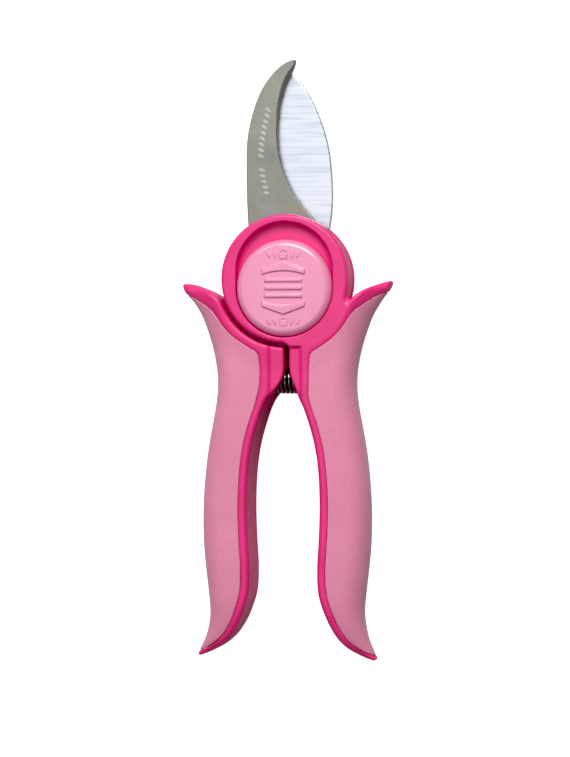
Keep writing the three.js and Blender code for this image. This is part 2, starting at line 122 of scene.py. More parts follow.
GRIP_LEAN_Y = {"none": -12, "full": -20}  # the grips' lean fades out towards the head
SKEW = {"wing": 0.3, "tail": 0.35}  # up at the right wing's tip, down at the right tail's
SKEW_Y = {"wing": (-8, -3), "tail": (-94, -102)}  # where each starts and where it is full
GRIP_EDGE_ROUND = 0.2
FRONT_HEAD = {"r": 17.8, "low": 10.4, "round": 1.0, "under": 0.4, "fillet": 2.2}
REAR_HEAD = {"r": 17.7, "top": 5.0, "round": 4.0, "upper": 0.4, "fillet": 1.0}
SKIRT = {"inner": 14.0, "low": 7.6, "top": 12.0, "fan": (-46, 40), "round": 0.4}  # beside the hook's root
HEAD_CLEARANCE_R = 19.0
ROOT_CLEARANCE = {"r": 16.0, "top": 10.1, "round": 0.8}
HEAD_RISE = {"full": 19.5, "none": 27.5}
RECESS = {"r": BUTTON_R + 0.2, "upper": 0.1, "floor": 13.9, "lip": 0.25, "fillet": 1.7}
UNDER_POCKET = {"r": 13.2, "top": 12.6}
CAP_SEAT = {"r": CAP_R + 0.3, "top": CAP_TOP + 0.3}
PANEL = {"far": 4.1, "lean": 0.6, "right_top": -19.2, "left_top": -17.4, "end": -33.5, "depth": 0.85,
         "draft": 0.7, "round": 0.35, "rim": 0.6}
POCKET = {"r": 4.0, "half": 6.4, "stub_r": 1.8, "stub": 2.6}
BUTTON = {"low": 14.1, "sunk": 0.1, "dome": 0.35, "round": 2.0, "under": 1.35, "relief": 0.45}
BUTTON_SCREW_R = 0.9
ARROW = {"slope": 0.36, "tip": 7.3, "half": 6.0, "hollow_r": 17.6, "hollow_y": -12.9, "round": 0.3}
BARS = {"y": (-2.15, 0.0, 2.15), "half_x": 5.2, "half_y": 0.5, "round": 0.2}
PADLOCK = {"y": 9.2, "swing": 0.5, "relief": 0.14, "half_x": 1.05, "half_y": 0.8, "body_y": -0.5,
           "loop_y": 0.35, "loop_r": 0.65, "loop_half": 0.2, "loop_low": 0.1, "round": 0.2}
LEAF_PAIR = ((2.45, 0.3), (4.1, 0.5))  # how far each leaf of a sign is from its middle, and its tilt
LEAF_DISC = {"r": 1.65, "away": 1.15}
CAP_GROOVE = {"in": 2.2, "r": 0.35}
CAP_DIMPLE = {"below": 3.2, "r": 4.0}
BLADE_ROOT_R = 13.5
BLADE_FOOT_Y = {"hook": 11.0, "cutting": 8.0}  # where the blade's own outline ends inside the root
TANG_HALF = 3.5
TONGUE_Y = (-99.5, -6.8)

# Half thickness of a handle, as (y, half thickness)
THICKNESS = [(-108, 2.2), (-104.7, 3.0), (-99.5, 5.6), (-92, 7.4), (-80, 8.0), (-60, 8.0), (-25, 8.0),
             (-14, 7.2), (-6.8, 5.8), (-3.4, 4.2), (-0.9, 2.4), (3, 1.8)]

# Outlines of a handle in plan, as (distance from the mirror line, y)
OUTER_EDGE = [(30.0, 3.5), (29.7, -1.3), (28.8, -3.4), (27.3, -5.0), (25.9, -6.8), (23.9, -10.0),
              (22.3, -14.0), (20.7, -19.0), (19.5, -25.3), (19.3, -30.0), (19.8, -35.0), (20.7, -40.0),
              (21.8, -46.0), (22.7, -53.0), (23.4, -63.0), (23.3, -73.0), (22.7, -80.0), (21.9, -87.0),
              (21.5, -92.0), (21.9, -96.0), (22.8, -99.5), (23.9, -102.0), (25.0, -104.2), (27.3, -108.5)]
WING_TOP = [(34.0, -0.9), (29.5, -0.8), (27.4, -1.0), (24.4, -2.0), (21.4, -3.4), (19.0, -5.0), (17.0, -6.8)]
INNER_EDGE = [(0.8, -12.0), (0.8, -19.0), (0.8, -25.3), (1.6, -28.2), (3.2, -31.0), (5.4, -35.0),
              (7.2, -40.0), (8.8, -46.0), (9.8, -53.0), (10.2, -63.0), (9.9, -73.0), (9.5, -80.0),
              (9.8, -87.0), (11.2, -92.0), (12.9, -96.0), (15.1, -99.5), (17.7, -102.0), (20.6, -103.7),
              (23.4, -104.9), (29.0, -106.7)]
GRIP_LINE = [(33.0, -3.0), (27.3, -4.2), (22.3, -7.0), (19.2, -9.6), (17.1, -12.7), (14.0, -16.1),
             (9.5, -19.2), (7.6, -20.5), (7.0, -22.6), (7.0, -31.3), (7.8, -35.0), (9.5, -40.0),
             (11.1, -46.0), (12.1, -53.0), (12.6, -63.0), (12.3, -73.0), (11.9, -80.0), (12.2, -87.0),
             (13.7, -92.0), (15.4, -96.0), (17.8, -99.5), (20.6, -101.8), (23.7, -103.5), (29.0, -105.5)]

# The right tang's middle line as (x, y); the left one is its mirror image about x = 0
TANG_LINE = [(3.0, -6.0), (9.0, -19.0), (12.8, -31.0), (15.0, -44.0), (16.0, -54.0)]

# Outlines of the blades in plan, as (x, y), and how they are ground
HOOK_INNER = [(16.5, 4.0), (13.3, 8.0), (9.6, 13.4), (6.7, 17.2), (1.1, 24.4), (-2.7, 34.5), (-2.9, 46.0),
              (-1.0, 54.1), (1.7, 59.4), (2.2, 65.0)]
HOOK_OUTER = [(7.3, 61.8), (1.3, 61.0), (-1.3, 59.9), (-4.7, 56.9), (-8.3, 51.2), (-11.3, 41.0),
              (-11.8, 31.0), (-11.3, 15.0), (-9.7, 0.0)]
CUTTING_SPINE = [(8.6, 0.0), (10.2, 9.0), (11.8, 19.0), (11.8, 28.5), (10.4, 38.7), (6.8, 48.6), (2.8, 55.2),
                 (0.4, 57.6), (-2.7, 61.5)]
CUTTING_EDGE = [(3.5, 61.0), (0.0, 57.3), (-3.7, 52.5), (-7.3, 43.0), (-8.2, 31.5), (-7.3, 20.0), (-5.7, 9.0),
                (-3.7, 0.0)]
HOOK_GRIND = {"width": 0.8, "root_width": 0.05, "slope": 0.5,
              "from_y": 36, "full_y": 56, "fade_y": 57.5, "end_y": 60.5}
CUTTING_GRIND = {"spine": 0.12, "spine_slope": 0.55, "width": 2.6, "slope": 0.6, "from_y": 16, "full_y": 22}
PIN_WINDOW = {"fan": (255, 316), "inwards": 6.9, "outwards": 1.85}  # the cutting blade's, about the lock pin

# The etched leaves on the hook blade
LEAF_MARK = {"length": 2.0, "width": 0.8, "turn": 68, "sunk": 0.05, "deep": 0.075, "pitch": 1.62}
MARK_LINE = [(-5.3, 48.4), (-6.9, 41.5), (-7.7, 35.0), (-7.2, 29.0), (-6.0, 23.6)]
MARK_ROWS = ((1.3, 9), (18.2, 5))  # where a row starts along the line, and how many leaves it has

WIRE_R = 0.59
TURNS = 9
HARDWARE_BEVEL = 0.12

# Grid steps of the fields
HANDLE_STEP = 0.36
BUTTON_STEP = 0.21
CAP_STEP = 0.25
BLADE_STEP = 0.25


# ---- Lines and distances in plan ----

def smooth_line(points, steps=8):
    """A dense smooth line through the points (centripetal Catmull-Rom)."""
    p = np.array(points, float)
    p = np.vstack([2 * p[0] - p[1], p, 2 * p[-1] - p[-2]])
    line = []
    for a, b, c, d in zip(p, p[1:], p[2:], p[3:]):
        t1 = math.sqrt(np.linalg.norm(b - a))
        t2 = t1 + math.sqrt(np.linalg.norm(c - b))
        t3 = t2 + math.sqrt(np.linalg.norm(d - c))
        for t in np.linspace(t1, t2, steps, endpoint=False):
            ab = a + (b - a) * t / t1
            bc = b + (c - b) * (t - t1) / (t2 - t1)
            cd = c + (d - c) * (t - t2) / (t3 - t2)
            abc = ab + (bc - ab) * t / t2
            bcd = bc + (cd - bc) * (t - t1) / (t3 - t1)
            line.append(abc + (bcd - abc) * (t - t1) / (t2 - t1))
    return np.vstack([line, p[-2]])


def line_distance(x, y, line):
    """Distance to a line, positive on its left."""
    best = np.full(np.broadcast_shapes(np.shape(x), np.shape(y)), np.inf)
    side = np.zeros_like(best)
    for (ax, ay), (bx, by) in zip(line, line[1:]):
        dx, dy = bx - ax, by - ay
        px, py = x - ax, y - ay
        t = np.clip((px * dx + py * dy) / (dx * dx + dy * dy), 0, 1)
        far = (px - t * dx) ** 2 + (py - t * dy) ** 2
        nearer = far < best
        best = np.where(nearer, far, best)
        side = np.where(nearer, dx * py - dy * px, side)
    return np.sqrt(best) * np.sign(side)


class PlanField:
    """A distance in plan, worked out once on a fine grid and read between its points."""

    def __init__(self, low, high, line, step=0.25):
        self.low, self.step = low, step
        xs = np.arange(low[0], high[0] + step, step)
        ys = np.arange(low[1], high[1] + step, step)
        self.values = line_distance(xs[:, None], ys[None, :], line)

    def __call__(self, x, y):
        nx, ny = self.values.shape
        u = np.clip((x - self.low[0]) / self.step, 0, nx - 1.001)
        v = np.clip((y - self.low[1]) / self.step, 0, ny - 1.001)
        i, j = u.astype(int), v.astype(int)
        u, v = u - i, v - j
        near = self.values[i, j] * (1 - v) + self.values[i, j + 1] * v
        far = self.values[i + 1, j] * (1 - v) + self.values[i + 1, j + 1] * v
        return near * (1 - u) + far * u


# ---- Joining and cutting fields ----

def meet(a, b, r=0.0):
    """What is inside both fields, with the edge between them rounded to r."""
    u = np.maximum(a + r, 0)
    v = np.maximum(b + r, 0)
    return np.minimum(np.maximum(a, b), -r) + np.hypot(u, v)


def join(a, b, r=0.0):
    """What is inside either field, with a fillet of r between them."""
    return -meet(-a, -b, r)


def cut(a, b, r=0.0):
    return meet(a, -b, r)


def slab(z, low, high):
    return np.abs(z - (low + high) / 2) - (high - low) / 2


def stadium(x, y, r, from_y, to_y):
    return np.hypot(x, y - np.clip(y, from_y, to_y)) - r


def fade(value, none, full):
    """A smooth step from 0 at none to 1 at full."""
    t = np.clip((value - none) / (full - none), 0, 1)
    return t * t * (3 - 2 * t)


# ---- Meshing a field ----

def surface_net(value):
    """Vertices, in grid steps, and quads on the zero surface of values on a grid."""
    cells = np.array(value.shape) - 1
    total = np.zeros((cells.prod(), 3))
    count = np.zeros(cells.prod())
    inside = value < 0
    quads = []
    for axis in range(3):
        here = tuple(slice(0, -1) if k == axis else slice(None) for k in range(3))
        there = tuple(slice(1, None) if k == axis else slice(None) for k in range(3))
        at = np.argwhere(inside[here] != inside[there])
        start = value[here][tuple(at.T)]
        end = value[there][tuple(at.T)]
        crossing = at.astype(float)
        crossing[:, axis] += start / (start - end)
        u, v = (axis + 1) % 3, (axis + 2) % 3
        ring = []
        for du, dv in ((-1, -1), (0, -1), (0, 0), (-1, 0)):
            cell = at.copy()
            cell[:, u] += du
            cell[:, v] += dv
            ring.append(np.ravel_multi_index(cell.T, cells))
        for cell in ring:
            count += np.bincount(cell, minlength=len(count))
            for k in range(3):
                total[:, k] += np.bincount(cell, crossing[:, k], minlength=len(count))
        around = np.stack(ring, axis=1)
        around[start > 0] = around[start > 0][:, ::-1]
        quads.append(around)
    quads = np.vstack(quads)
    used, quads = np.unique(quads, return_inverse=True)
    return total[used] / count[used, None], quads.reshape(-1, 4)


def slope(field, points, width=0.02):
    """The field's gradient at points."""
    sides = []
    for k in range(3):
        offset = np.zeros(3)
        offset[k] = width
        ahead = field(*(points + offset).T)
        behind = field(*(points - offset).T)
        sides.append((ahead - behind) / (2 * width))
    return np.stack(sides, axis=1)


def settle(points, field, reach):
    """Moves points onto the field's zero surface, each step no longer than reach."""
    for _ in range(3):
        uphill = slope(field, points)
        steep = np.maximum((uphill ** 2).sum(1), 0.1)
        move = np.clip(field(*points.T) / steep, -reach, reach)
        points = points - uphill * move[:, None]
    return points


def field_piece(name, field, low, high, step):
    """A mesh object on the zero surface of a field inside a box."""
    axes = [np.arange(low[k] - 2.5 * step, high[k] + 3 * step, step) for k in range(3)]
    grid = np.ix_(*axes)
    value = np.broadcast_to(field(*grid), [len(a) for a in axes])
    points, quads = surface_net(value)
    points = points * step + np.array([a[0] for a in axes])
    points = settle(points, field, step / 2)
    mesh = bpy.data.meshes.new(name)
    mesh.from_pydata((points * MM).tolist(), [], quads.tolist())
    mesh.shade_smooth()
    mesh.normals_split_custom_set_from_vertices(unit(slope(field, points)).tolist())
    piece = bpy.data.objects.new(name, mesh)
    bpy.context.scene.collection.objects.link(piece)
    return piece


def unit(vectors):
    return vectors / np.maximum(np.linalg.norm(vectors, axis=1), 1e-9)[:, None]


# ---- Handles ----

PLAN_LOW, PLAN_HIGH = (-20.0, -110.0), (34.0, 20.0)
inner_line = np.vstack([smooth_line(WING_TOP), smooth_line(INNER_EDGE)])
outer_field = PlanField(PLAN_LOW, PLAN_HIGH, smooth_line(OUTER_EDGE))
inner_field = PlanField(PLAN_LOW, PLAN_HIGH, inner_line[::-1])
grip_field = PlanField(PLAN_LOW, PLAN_HIGH, smooth_line(GRIP_LINE))
thickness_line = smooth_line(THICKNESS)


def half_thickness(x, y, z):
    """Half thickness of a handle. On the front it rises to the head's face near the head."""
    half = np.interp(y, thickness_line[:, 0], thickness_line[:, 1])
    r = np.hypot(x, y)
    rise = np.maximum(HEAD_TOP - MID_Z - half, 0) * fade(r, HEAD_RISE["none"], HEAD_RISE["full"])
    return half + np.where(z > MID_Z, rise, 0)


def beside_spring(y):
    """How far a height belongs to the bosses beside the spring, 0 to 1."""
    return fade(y, LEAN["none_y"], LEAN["full_y"])


def skew(side, y):
    """How far a handle's tips are above the mean outline, since the handles are no exact mirror pair."""
    wing = SKEW["wing"] * fade(y, *SKEW_Y["wing"])
    tail = SKEW["tail"] * fade(y, *SKEW_Y["tail"])
    return side * (wing - tail)


def to_grip(side, x, y):
    """Distance from the line between core and grip, positive on the grip's side."""
    share = beside_spring(y) * fade(y, GRIP_LEAN_Y["none"], GRIP_LEAN_Y["full"])
    return grip_field(side * (x - AXIS_X - LEAN["grip"] * share), y - skew(side, y))


def handle(side, x, y, z, inset=0.0, drop=0.0):
    d = side * (x - AXIS_X)
    half = half_thickness(x, y, z)
    face = np.abs(z - MID_Z) - half + inset + drop
    level = y - skew(side, y)
    outer = outer_field(d, level) + inset
    inner = inner_field(d - side * LEAN["inner"] * beside_spring(y), level) + inset
    rounded = meet(outer, face, OUTER_SHARE * half)
    tip_round = np.where(y > WAIST_Y, TIP_ROUND["wing"], TIP_ROUND["tail"])
    return np.maximum(meet(meet(outer, inner, tip_round), face, INNER_ROUND), rounded)


def tongue(side, x, y, z, grow=0.0):
    """The core's tongue inside the grip; grow makes room for it."""
    ends = slab(y, TONGUE_Y[0] - grow, TONGUE_Y[1] + grow)
    return meet(handle(side, x, y, z, GRIP_WALL - grow), ends, 0.5)


def crown(side, x, y):
    """How far the core's border has fallen away beside the grip."""
    across = np.clip(to_grip(side, x, y) + CROWN["wide"], 0, CROWN["wide"])
    return CROWN["r"] - np.sqrt(CROWN["r"] ** 2 - across ** 2)


def spring_pocket(side, x, y, z):
    d = side * (x - AXIS_X)
    across = np.hypot(y - middle("main_spring")[1], z - MID_Z)
    hole = np.maximum(across - POCKET["r"], np.abs(d) - POCKET["half"])
    stub = np.maximum(across - POCKET["stub_r"], POCKET["half"] - POCKET["stub"] - d)
    return cut(hole, stub)


def panel(side, x, y, z):
    """The shallow recess on the front of a core beside the spring."""
    d = side * (x - AXIS_X - PANEL["lean"])
    floor = MID_Z + half_thickness(x, y, z) - PANEL["depth"] - z
    top = PANEL["right_top"] if side > 0 else PANEL["left_top"]
    edges = np.maximum(d - PANEL["far"], slab(y, PANEL["end"], top)) + PANEL["draft"] * floor
    return meet(edges, floor, PANEL["round"])


def tang(side, x, y, grow=0.0):
    line = [(side * tx, ty) for tx, ty in TANG_LINE]
    across = np.abs(line_distance(x, y, line)) - TANG_HALF
    return np.maximum(across, TANG_LINE[-1][1] - y) - grow


def handle_core(side, blade_z, x, y, z):
    """What both cores share: border, boss and tongue, with everything cut from them."""
    made = meet(handle(side, x, y, z, drop=crown(side, x, y)), to_grip(side, x, y), 0.12)
    made = cut(made, panel(side, x, y, z), PANEL["rim"])
    made = np.minimum(made, tongue(side, x, y, z))
    made = cut(made, spring_pocket(side, x, y, z), MOULD_EDGE)
    slot = np.maximum(tang(side, x, y, FIT), slab(z, blade_z[0] - FIT, blade_z[1] + FIT))
    made = cut(made, slot)
    for pin_x, pin_y, _ in PIN_HOLES[side]:
        hole = np.hypot(x - pin_x, y - pin_y) - PIN_R - RUN
        made = cut(made, np.maximum(hole, PIN_HOLE_LOW - z))
    return made


def right_core(x, y, z):
    r = np.hypot(x, y)
    made = handle_core(1, HOOK_Z, x, y, z)
    made = cut(made, np.maximum(r - HEAD_CLEARANCE_R, z - FRONT_HEAD["low"]), MOULD_EDGE)
    head = meet(r - FRONT_HEAD["r"], z - HEAD_TOP, FRONT_HEAD["round"])
    head = meet(head, FRONT_HEAD["low"] - z, FRONT_HEAD["under"])
    made = np.maximum(join(made, head, FRONT_HEAD["fillet"]), z - HEAD_TOP)
    made = np.minimum(made, head_skirt(x, y, z))
    low_y, high_y = BUTTON_Y, BUTTON_Y + LOCK_TRAVEL
    plan = stadium(x, y, RECESS["r"], low_y, high_y - RECESS["upper"])
    recess = meet(plan, RECESS["floor"] - z, RECESS["fillet"])
    made = cut(made, recess, RECESS["lip"])
    made = cut(made, np.maximum(r - UNDER_POCKET["r"], z - UNDER_POCKET["top"]))
    for post in (-POST_X, POST_X):
        slot = stadium(x - post, y, PIN_R + GAP, low_y, high_y)
        made = cut(made, np.maximum(slot, z - RECESS["floor"] - 1))
    return made


def head_skirt(x, y, z):
    """The front head's side wall beside the hook blade's root."""
    r = np.hypot(x, y)
    wall = meet(r - FRONT_HEAD["r"], SKIRT["low"] - z, SKIRT["round"])
    wall = meet(wall, fan_sides(x, y, *SKIRT["fan"]), SKIRT["round"])
    return np.maximum(np.maximum(wall, SKIRT["inner"] - r), z - SKIRT["top"])


def left_core(x, y, z):
    r = np.hypot(x, y)
    made = handle_core(-1, CUTTING_Z, x, y, z)
    above_root = np.maximum(r - HEAD_CLEARANCE_R, ROOT_CLEARANCE["top"] - z)
    made = cut(made, above_root, ROOT_CLEARANCE["round"])
    made = cut(made, np.maximum(r - ROOT_CLEARANCE["r"], REAR_HEAD["top"] - z), MOULD_EDGE)
    disc = meet(r - REAR_HEAD["r"], -z, REAR_HEAD["round"])
    disc = meet(disc, z - REAR_HEAD["top"], REAR_HEAD["upper"])
    made = join(made, disc, REAR_HEAD["fillet"])
    made = cut(made, np.maximum(r - CAP_SEAT["r"], z - CAP_SEAT["top"]), MOULD_EDGE)
    nut = np.maximum(hexagon(x, y, NUT_R + GAP), z - NUT_TOP - RUN)
    made = cut(made, nut)
    return cut(made, r - BOLT_R - RUN)


def fan_sides(x, y, from_degrees, to_degrees):
    """The two straight sides of a fan about the pivot."""
    a, b = math.radians(from_degrees), math.radians(to_degrees)
    return np.maximum(x * math.sin(a) - y * math.cos(a), y * math.cos(b) - x * math.sin(b))


def hexagon(x, y, r):
    """A hexagon with corners at radius r on the X axis."""
    apothem = r * math.cos(math.pi / 6)
    sides = [np.abs(x * math.sin(a) + y * math.cos(a)) for a in np.radians([0, 60, 120])]
    return np.maximum(np.maximum(sides[0], sides[1]), sides[2]) - apothem


def grip(side, x, y, z):
    made = meet(handle(side, x, y, z), GRIP_SEAM - to_grip(side, x, y), GRIP_EDGE_ROUND)
    return cut(made, tongue(side, x, y, z, GAP))


# ---- Lock button and rear cap ----

def bar(x, y, half_x, half_y, r):
    return meet(np.abs(x) - half_x, np.abs(y) - half_y, r)


def arrow_head(x, y):
    """A raised arrow head that points up, hollowed below by a shallow arc."""
    sides = (np.abs(x) * ARROW["slope"] + y - ARROW["tip"]) / math.hypot(1, ARROW["slope"])
    under = ARROW["hollow_r"] - np.hypot(x, y - ARROW["hollow_y"])
    return meet(meet(sides, np.abs(x) - ARROW["half"], ARROW["round"]), under, ARROW["round"])


def padlock(x, y, swing):
    """A small padlock sign between two pairs of leaves; swing lifts its shackle."""
    body = bar(x, y - PADLOCK["body_y"], PADLOCK["half_x"], PADLOCK["half_y"], PADLOCK["round"])
    loop = np.abs(np.hypot(x, y - PADLOCK["loop_y"] - swing) - PADLOCK["loop_r"]) - PADLOCK["loop_half"]
    made = np.minimum(body, np.maximum(loop, PADLOCK["loop_low"] + swing - y))
    for away, tilt in LEAF_PAIR:
        made = np.minimum(made, leaf(np.abs(x) - away, y, tilt))
    return made


def leaf(x, y, tilt):
    """A pointed leaf about its middle: what two discs share."""
    across, along = x - tilt * y, y + tilt * x
    return np.hypot(np.abs(across) + LEAF_DISC["away"], along) - LEAF_DISC["r"]


def lock_button(x, y, z):
    x = x - BUTTON_X
    y = y - BUTTON_Y
    r = np.hypot(x, y)
    top = BUTTON_TOP - BUTTON["sunk"] - BUTTON["dome"] * (r / BUTTON_R) ** 2
    made = meet(r - BUTTON_R, z - top, BUTTON["round"])
    made = meet(made, BUTTON["low"] - z, BUTTON["under"])
    sign = np.minimum(arrow_head(x, y), arrow_head(x, -y))
    for bar_y in BARS["y"]:
        sign = np.minimum(sign, bar(x, y - bar_y, BARS["half_x"], BARS["half_y"], BARS["round"]))
    made = join(made, meet(sign, slab(z, top - ROOT, top + BUTTON["relief"]), 0.35), 0.22)
    locks = np.minimum(padlock(x, y - PADLOCK["y"], PADLOCK["swing"]), padlock(x, y + PADLOCK["y"], 0.0))
    made = join(made, meet(locks, slab(z, top - ROOT, top + PADLOCK["relief"]), 0.1), 0.08)
    for post in (-POST_X, POST_X):
        across = np.hypot(x - post, y)
        made = np.minimum(made, np.maximum(across - PIN_R, slab(z, POST_LOW, BUTTON["low"] + ROOT)))
        made = cut(made, np.maximum(across - BUTTON_SCREW_R, z - SCREW_TOP - RUN))
    return made


def rear_cap(x, y, z):
    r = np.hypot(x, y)
    made = meet(meet(r - CAP_R, -z, 0.45), z - CAP_TOP, 0.1)
    groove = np.hypot(r - CAP_R + CAP_GROOVE["in"], z) - CAP_GROOVE["r"]
    dimple = np.hypot(r, z + CAP_DIMPLE["below"]) - CAP_DIMPLE["r"]
    return cut(cut(made, groove, 0.15), dimple, MOULD_EDGE)


# ---- Blades ----

def blade_root(side, x, y):
    """The round root on the pivot and the tang, in plan."""
    root = np.minimum(np.hypot(x, y) - BLADE_ROOT_R, tang(side, x, y))
    for pin_x, pin_y, _ in PIN_HOLES[side]:
        root = np.maximum(root, PIN_R + RUN - np.hypot(x - pin_x, y - pin_y))
    return root


BLADE_LOW, BLADE_HIGH = (-20.0, 0.0), (20.0, 66.0)
hook_inner = PlanField(BLADE_LOW, BLADE_HIGH, smooth_line(HOOK_INNER))
hook_outer = PlanField(BLADE_LOW, BLADE_HIGH, smooth_line(HOOK_OUTER))
cutting_spine = PlanField(BLADE_LOW, BLADE_HIGH, smooth_line(CUTTING_SPINE))
cutting_edge = PlanField(BLADE_LOW, BLADE_HIGH, smooth_line(CUTTING_EDGE))


def hook_blade(x, y, z):
    inner, outer = -hook_inner(x, y), -hook_outer(x, y)
    plan = meet(meet(inner, outer, 0.5), BLADE_FOOT_Y["hook"] - y)
    low, top = HOOK_Z
    share = fade(y, HOOK_GRIND["from_y"], HOOK_GRIND["full_y"])
    share = share * fade(y, HOOK_GRIND["end_y"], HOOK_GRIND["fade_y"])
    width = HOOK_GRIND["root_width"] + (HOOK_GRIND["width"] - HOOK_GRIND["root_width"]) * share
    ground = top - HOOK_GRIND["slope"] * np.maximum(inner + width, 0)
    outline = np.minimum(plan, blade_root(1, x, y))
    blade = meet(meet(outline, z - ground, 0.18), low - z, 0.12)
    blade = cut(blade, np.hypot(x, y) - BOLT_R - RUN, STEEL_EDGE)
    return cut(blade, stadium(x, y, PIN_R + GAP, LOCK_PIN_Y, LOCK_PIN_Y + LOCK_TRAVEL), STEEL_EDGE)


def cutting_blade(x, y, z):
    spine, edge = -cutting_spine(x, y), -cutting_edge(x, y)
    plan = meet(meet(spine, edge, 0.4), BLADE_FOOT_Y["cutting"] - y)
    low, top = CUTTING_Z
    front = top - CUTTING_GRIND["spine_slope"] * np.maximum(spine + CUTTING_GRIND["spine"], 0)
    ground = np.maximum(edge + CUTTING_GRIND["width"], 0)
    ground = ground * fade(y, CUTTING_GRIND["from_y"], CUTTING_GRIND["full_y"])
    back = low + CUTTING_GRIND["slope"] * ground
    outline = np.minimum(plan, blade_root(-1, x, y))
    blade = meet(meet(outline, z - front, STEEL_EDGE), back - z, 0.08)
    r = np.hypot(x, y)
    blade = cut(blade, r - BOLT_R - RUN, STEEL_EDGE)
    pin_away = abs(LOCK_PIN_Y)
    ring = slab(r, pin_away - PIN_WINDOW["inwards"], pin_away + PIN_WINDOW["outwards"])
    return cut(blade, np.maximum(ring, fan_sides(x, y, *PIN_WINDOW["fan"])), STEEL_EDGE)


def leaf_outline(count=16):
    """The outline of one etched leaf, about its middle."""
    half_length, half_width = LEAF_MARK["length"] / 2, LEAF_MARK["width"] / 2
    angles = np.linspace(0, 2 * math.pi, count, endpoint=False)
    return [(math.cos(a) * half_length, math.sin(a) * abs(math.sin(a)) * half_width) for a in angles]


def hook_marks():
    """Two rows of small etched leaves down the hook, longer above and shorter below."""
    line = smooth_line(MARK_LINE, 40)
    away = np.concatenate([[0], np.cumsum(np.linalg.norm(np.diff(line, axis=0), axis=1))])
    places = [start + LEAF_MARK["pitch"] * k for start, count in MARK_ROWS for k in range(count)]
    maker = bmesh.new()
    for place in places:
        x, y = (np.interp(place, away, line[:, k]) for k in range(2))
        ahead = [np.interp(place + 0.5, away, line[:, k]) for k in range(2)]
        heading = math.atan2(ahead[1] - y, ahead[0] - x)
        turn = Matrix.Rotation(heading + math.radians(LEAF_MARK["turn"]), 3, "Z")
        ring = []
        for px, py in leaf_outline():
            spot = turn @ Vector((px, py, 0)) + Vector((x, y, HOOK_Z[1] - LEAF_MARK["sunk"]))
            ring.append(maker.verts.new(spot * MM))
        face = maker.faces.new(ring)
        raised = bmesh.ops.extrude_face_region(maker, geom=[face])["geom"]
        top = [v for v in raised if isinstance(v, bmesh.types.BMVert)]
        bmesh.ops.translate(maker, verts=top, vec=(0, 0, LEAF_MARK["deep"] * MM))
    bmesh.ops.recalc_face_normals(maker, faces=maker.faces)
    mesh = bpy.data.meshes.new("hook_marks")
    maker.to_mesh(mesh)
    maker.free()
    piece = bpy.data.objects.new("hook_marks", mesh)
    bpy.context.scene.collection.objects.link(piece)
    return piece


# ---- Spring ----

def main_spring(sides=12, steps_a_turn=32):
    reach = (SPRING_HIGH[0] - SPRING_LOW[0]) / 2 - WIRE_R
    coil_r = (SPRING_HIGH[1] - SPRING_LOW[1]) / 2 - WIRE_R
    centre = middle("main_spring")
    t = np.linspace(0, 1, TURNS * steps_a_turn + 1)
    angle = 2 * math.pi * TURNS * t
    path = np.stack([
        centre[0] + reach * (2 * t - 1),
        centre[1] + coil_r * np.cos(angle),
        centre[2] + coil_r * np.sin(angle),
    ], axis=1)
    ahead = unit(np.gradient(path, axis=0))
    outward = np.stack([np.zeros_like(t), np.cos(angle), np.sin(angle)], axis=1)
    across = unit(np.cross(ahead, outward))
    maker = bmesh.new()
    rings = []
    for spot, out, side in zip(path, outward, across):
        ring = []
        for k in range(sides):
            a = 2 * math.pi * k / sides
            point = spot + WIRE_R * (math.cos(a) * out + math.sin(a) * side)
            ring.append(maker.verts.new(Vector(point) * MM))
        rings.append(ring)
    for one, two in zip(rings, rings[1:]):
        for k in range(sides):
            maker.faces.new((one[k], one[(k + 1) % sides], two[(k + 1) % sides], two[k]))
    maker.faces.new(rings[0][::-1])
    maker.faces.new(rings[-1])
    bmesh.ops.recalc_face_normals(maker, faces=maker.faces)
    for face in maker.faces:
        face.smooth = len(face.verts) == 4
    mesh = bpy.data.meshes.new("coil_spring")
    maker.to_mesh(mesh)
    maker.free()
    piece = bpy.data.objects.new("coil_spring", mesh)
    bpy.context.scene.collection.objects.link(piece)
    return piece


# ---- Materials ----

